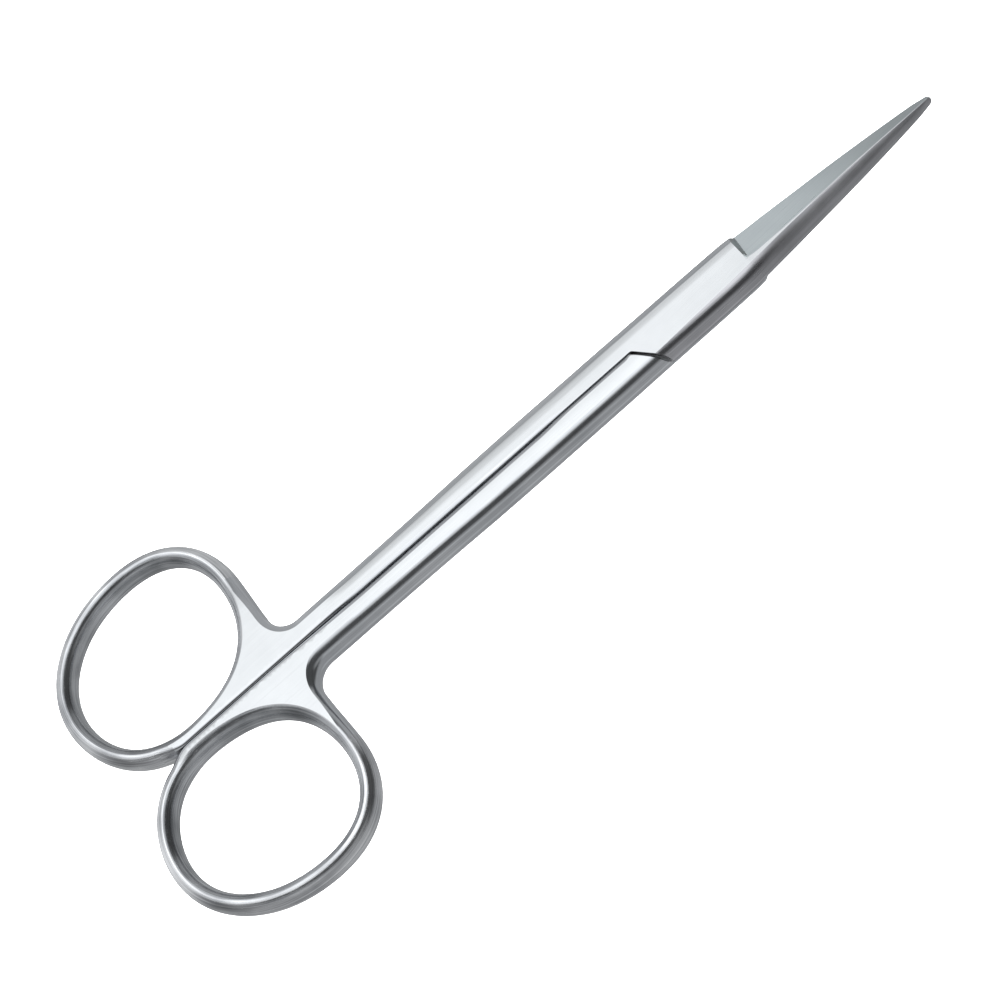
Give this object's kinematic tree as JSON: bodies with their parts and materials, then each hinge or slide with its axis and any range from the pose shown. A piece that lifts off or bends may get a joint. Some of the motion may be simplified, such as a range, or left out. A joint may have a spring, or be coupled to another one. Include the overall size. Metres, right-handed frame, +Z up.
{
  "type": "iris scissors",
  "caption": "Straight iris scissors, closed: slim pointed blades on a screw joint, straight shanks and oval finger rings in satin stainless steel.",
  "frame": {"origin": "on the resting plane, below the middle of the closed scissors' length", "axes": "+X along the length, from the finger rings to the tips; +Y towards the upper half's ring; +Z up, out of the upper face, square to the plane the halves meet in"},
  "size_m": [0.115, 0.0462, 0.0036],
  "materials": {
    "satin_steel": "satin polish, fine lengthwise grain on the ground blade facets",
    "screw_steel": "turned, slotted head ground near flush"
  },
  "bodies": {
    "lower": {"lower_half": "satin_steel"},
    "upper": {"upper_half": "satin_steel", "pivot_screw": "screw_steel"}
  },
  "joints": [
    {"name": "screw_joint", "type": "hinge", "parent": "lower", "child": "upper", "pos_m": [0.02412, 0, 0.0018], "axis": [0, 0, -1], "range_deg": [0, 50]}
  ]
}
